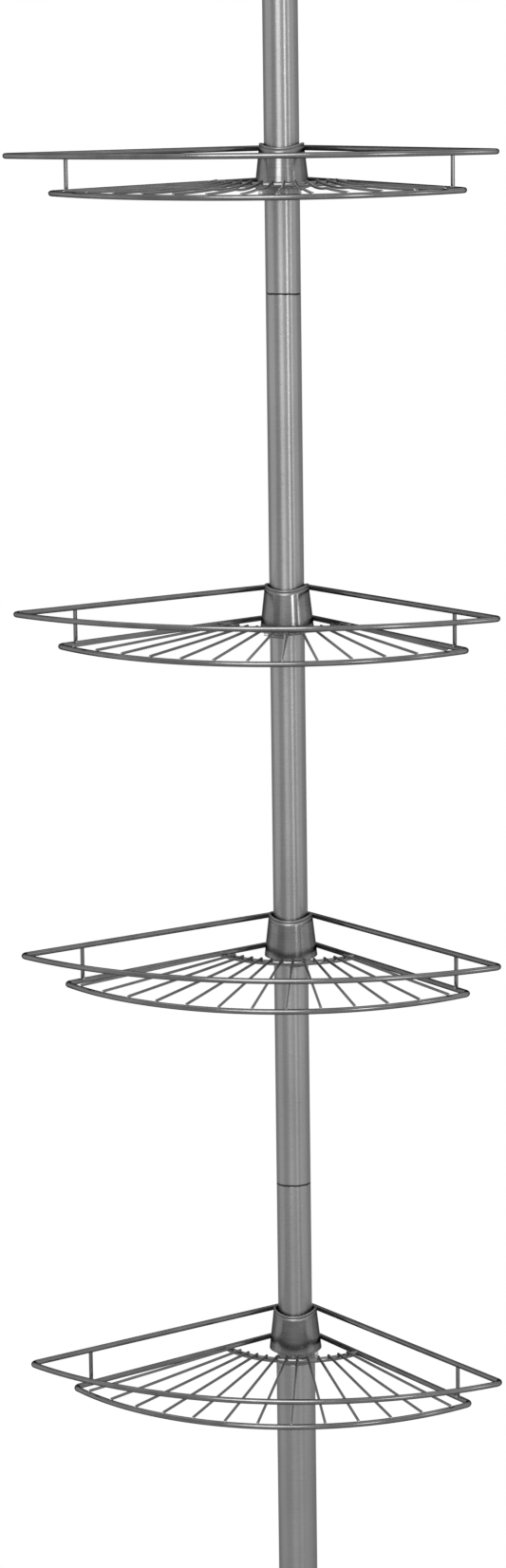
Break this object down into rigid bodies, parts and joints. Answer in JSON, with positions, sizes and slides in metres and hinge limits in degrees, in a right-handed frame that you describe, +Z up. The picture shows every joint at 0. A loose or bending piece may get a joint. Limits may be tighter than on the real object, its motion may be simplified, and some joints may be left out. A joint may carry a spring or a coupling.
{
  "type": "tension pole shelf unit",
  "caption": "Sprung floor-to-ceiling pole with quarter-round wire baskets that slide up and down it and swivel on wedge collars.",
  "frame": {"origin": "centre of the underside of the floor pad, on the pole's axis", "axes": "+Z up along the pole, -Y towards the baskets' curved fronts, +X to the right of someone facing the fronts"},
  "size_m": [0.2982, 0.2104, 1.889],
  "materials": {
    "pole_metal": "satin nickel-plated thin steel tube",
    "collar_metal": "satin nickel-plated pressed sheet",
    "wire_metal": "satin nickel-plated drawn wire, welded",
    "wedge_plastic": "natural milky polyethylene",
    "end_plastic": "fine-textured grey moulded plastic",
    "pad_rubber": "matt non-slip rubber",
    "guide_plastic": "plain moulded acetal",
    "coupler_steel": "plain drawn steel tube",
    "spring_steel": "oiled spring wire"
  },
  "bodies": {
    "lower_pole": {"floor_pad": "pad_rubber", "foot_cup": "end_plastic", "lower_tube": "pole_metal", "spring_seat": "guide_plastic", "tension_spring": "spring_steel", "mouth_bushing": "guide_plastic"},
    "upper_pole": {"tube_guide": "guide_plastic", "upper_tube_1": "pole_metal", "upper_tube_2": "pole_metal", "upper_tube_3": "pole_metal", "coupler_1": "coupler_steel", "coupler_2": "coupler_steel", "top_cup": "end_plastic", "ceiling_pad": "pad_rubber"},
    "wedge_1": {"wedge_1_tabbed": "wedge_plastic", "wedge_1_plain": "wedge_plastic"},
    "basket_1": {"basket_1_collar": "collar_metal", "basket_1_rail": "wire_metal", "basket_1_floor_frame": "wire_metal", "basket_1_inner_arc": "wire_metal", "basket_1_spokes": "wire_metal", "basket_1_posts": "wire_metal"},
    "wedge_2": {"wedge_2_tabbed": "wedge_plastic", "wedge_2_plain": "wedge_plastic"},
    "basket_2": {"basket_2_collar": "collar_metal", "basket_2_rail": "wire_metal", "basket_2_floor_frame": "wire_metal", "basket_2_inner_arc": "wire_metal", "basket_2_spokes": "wire_metal", "basket_2_posts": "wire_metal"},
    "wedge_3": {"wedge_3_tabbed": "wedge_plastic", "wedge_3_plain": "wedge_plastic"},
    "basket_3": {"basket_3_collar": "collar_metal", "basket_3_rail": "wire_metal", "basket_3_floor_frame": "wire_metal", "basket_3_inner_arc": "wire_metal", "basket_3_spokes": "wire_metal", "basket_3_posts": "wire_metal"},
    "wedge_4": {"wedge_4_tabbed": "wedge_plastic", "wedge_4_plain": "wedge_plastic"},
    "basket_4": {"basket_4_collar": "collar_metal", "basket_4_rail": "wire_metal", "basket_4_floor_frame": "wire_metal", "basket_4_inner_arc": "wire_metal", "basket_4_spokes": "wire_metal", "basket_4_posts": "wire_metal"}
  },
  "joints": [
    {"name": "pole_telescope", "type": "slide", "parent": "lower_pole", "child": "upper_pole", "axis": [0, 0, 1], "range_m": [-0.04, 0], "stiffness_N_per_m": 2500, "springref_m": 0.05, "deforming": ["tension_spring"]},
    {"name": "basket_1_height", "type": "slide", "parent": "upper_pole", "child": "wedge_1", "axis": [0, 0, 1], "range_m": [-0.115, 0.42]},
    {"name": "basket_1_swivel", "type": "hinge", "parent": "wedge_1", "child": "basket_1", "pos_m": [0, 0, 1.3948], "axis": [0, 0, 1], "continuous": true},
    {"name": "basket_2_height", "type": "slide", "parent": "upper_pole", "child": "wedge_2", "axis": [0, 0, 1], "range_m": [-0.085, 0.115]},
    {"name": "basket_2_swivel", "type": "hinge", "parent": "wedge_2", "child": "basket_2", "pos_m": [0, 0, 1.1183], "axis": [0, 0, 1], "continuous": true},
    {"name": "basket_3_height", "type": "slide", "parent": "upper_pole", "child": "wedge_3", "axis": [0, 0, 1], "range_m": [-0.09, 0.085]},
    {"name": "basket_3_swivel", "type": "hinge", "parent": "wedge_3", "child": "basket_3", "pos_m": [0, 0, 0.9048], "axis": [0, 0, 1], "continuous": true},
    {"name": "basket_4_height", "type": "slide", "parent": "lower_pole", "child": "wedge_4", "axis": [0, 0, 1], "range_m": [0, 0.09]},
    {"name": "basket_4_swivel", "type": "hinge", "parent": "wedge_4", "child": "basket_4", "pos_m": [0, 0, 0.6408], "axis": [0, 0, 1], "continuous": true}
  ]
}
